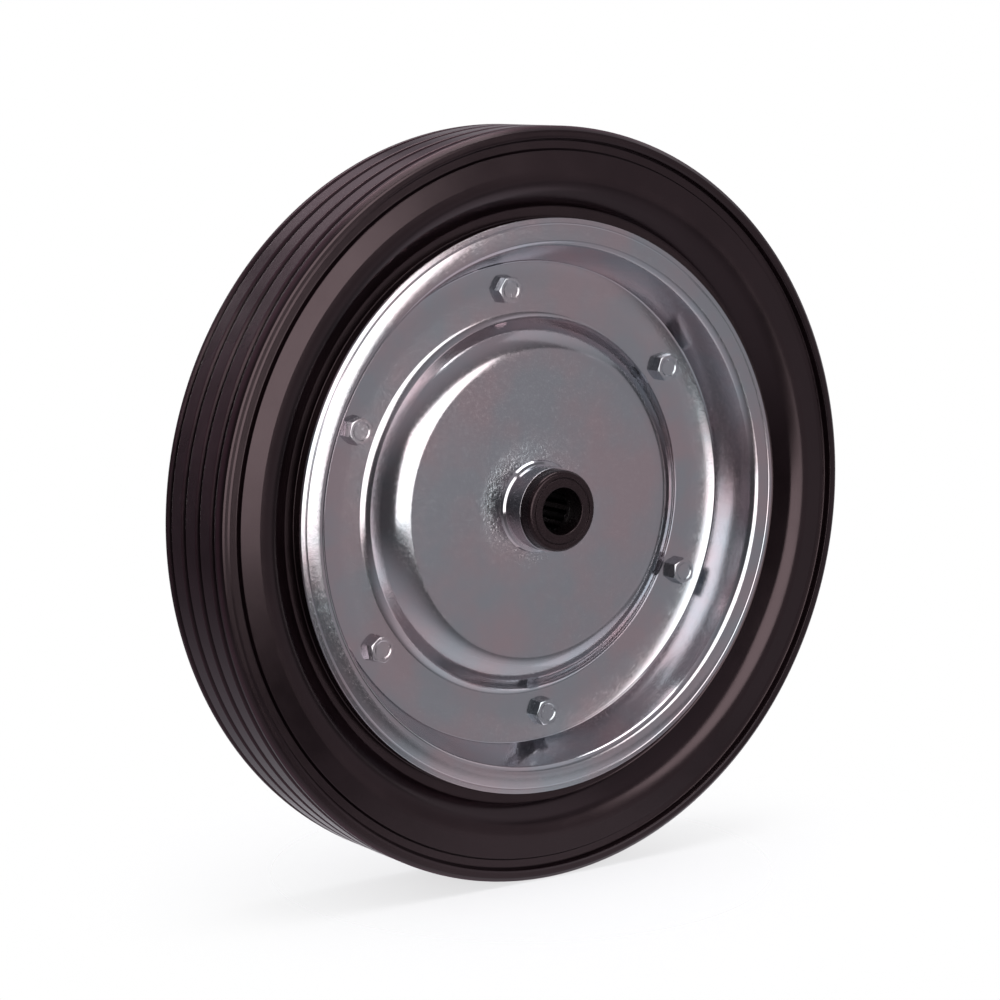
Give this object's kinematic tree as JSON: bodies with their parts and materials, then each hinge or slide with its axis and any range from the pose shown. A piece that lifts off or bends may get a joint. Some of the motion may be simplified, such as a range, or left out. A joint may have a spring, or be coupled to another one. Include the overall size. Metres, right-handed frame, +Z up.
{
  "type": "solid trolley wheel",
  "caption": "Solid rubber trolley wheel with a ribbed tread, on a bolted two-part pressed steel disc rim, with a roller bearing hub for a plain round axle.",
  "frame": {"origin": "centre of the wheel, on the axle's axis, in the plane where the two rim halves meet", "axes": "+Y along the axle, away from the side with the bolt heads; +Z up, with the wheel upright on its tread; +X across the wheel"},
  "size_m": [0.4, 0.075, 0.4],
  "materials": {
    "rubber": "soft sheen",
    "zinc": "bright zinc plate",
    "plastic": "satin",
    "bearing_steel": "ground"
  },
  "bodies": {
    "wheel": {"tyre": "rubber", "front_rim_half": "zinc", "rear_rim_half": "zinc", "hub_tube": "zinc", "front_end_cap": "plastic", "rear_end_cap": "plastic", "bolt_1": "zinc", "bolt_2": "zinc", "bolt_3": "zinc", "bolt_4": "zinc", "bolt_5": "zinc", "bolt_6": "zinc", "nut_1": "zinc", "nut_2": "zinc", "nut_3": "zinc", "nut_4": "zinc", "nut_5": "zinc", "nut_6": "zinc"},
    "cage": {"roller_cage": "plastic"},
    "roller_1": {"roller_1": "bearing_steel"},
    "roller_2": {"roller_2": "bearing_steel"},
    "roller_3": {"roller_3": "bearing_steel"},
    "roller_4": {"roller_4": "bearing_steel"},
    "roller_5": {"roller_5": "bearing_steel"},
    "roller_6": {"roller_6": "bearing_steel"},
    "roller_7": {"roller_7": "bearing_steel"},
    "roller_8": {"roller_8": "bearing_steel"},
    "roller_9": {"roller_9": "bearing_steel"}
  },
  "joints": [
    {"name": "cage_spin", "type": "hinge", "parent": "wheel", "child": "cage", "pos_m": [0, 0, 0], "axis": [0, 1, 0], "continuous": true},
    {"name": "roller_1_spin", "type": "hinge", "parent": "cage", "child": "roller_1", "pos_m": [0.01516, 0, 0.00435], "axis": [0, 1, 0], "continuous": true},
    {"name": "roller_2_spin", "type": "hinge", "parent": "cage", "child": "roller_2", "pos_m": [0.00882, 0, 0.01308], "axis": [0, 1, 0], "continuous": true},
    {"name": "roller_3_spin", "type": "hinge", "parent": "cage", "child": "roller_3", "pos_m": [-0.00165, 0, 0.01569], "axis": [0, 1, 0], "continuous": true},
    {"name": "roller_4_spin", "type": "hinge", "parent": "cage", "child": "roller_4", "pos_m": [-0.01135, 0, 0.01096], "axis": [0, 1, 0], "continuous": true},
    {"name": "roller_5_spin", "type": "hinge", "parent": "cage", "child": "roller_5", "pos_m": [-0.01574, 0, 0.0011], "axis": [0, 1, 0], "continuous": true},
    {"name": "roller_6_spin", "type": "hinge", "parent": "cage", "child": "roller_6", "pos_m": [-0.01276, 0, -0.00927], "axis": [0, 1, 0], "continuous": true},
    {"name": "roller_7_spin", "type": "hinge", "parent": "cage", "child": "roller_7", "pos_m": [-0.00382, 0, -0.01531], "axis": [0, 1, 0], "continuous": true},
    {"name": "roller_8_spin", "type": "hinge", "parent": "cage", "child": "roller_8", "pos_m": [0.00692, 0, -0.01418], "axis": [0, 1, 0], "continuous": true},
    {"name": "roller_9_spin", "type": "hinge", "parent": "cage", "child": "roller_9", "pos_m": [0.01441, 0, -0.00642], "axis": [0, 1, 0], "continuous": true}
  ],
  "couplings": [
    {"joint": "roller_1_spin", "follows": "cage_spin", "ratio": -5.9843},
    {"joint": "roller_2_spin", "follows": "cage_spin", "ratio": -5.9843},
    {"joint": "roller_3_spin", "follows": "cage_spin", "ratio": -5.9843},
    {"joint": "roller_4_spin", "follows": "cage_spin", "ratio": -5.9843},
    {"joint": "roller_5_spin", "follows": "cage_spin", "ratio": -5.9843},
    {"joint": "roller_6_spin", "follows": "cage_spin", "ratio": -5.9843},
    {"joint": "roller_7_spin", "follows": "cage_spin", "ratio": -5.9843},
    {"joint": "roller_8_spin", "follows": "cage_spin", "ratio": -5.9843},
    {"joint": "roller_9_spin", "follows": "cage_spin", "ratio": -5.9843}
  ]
}
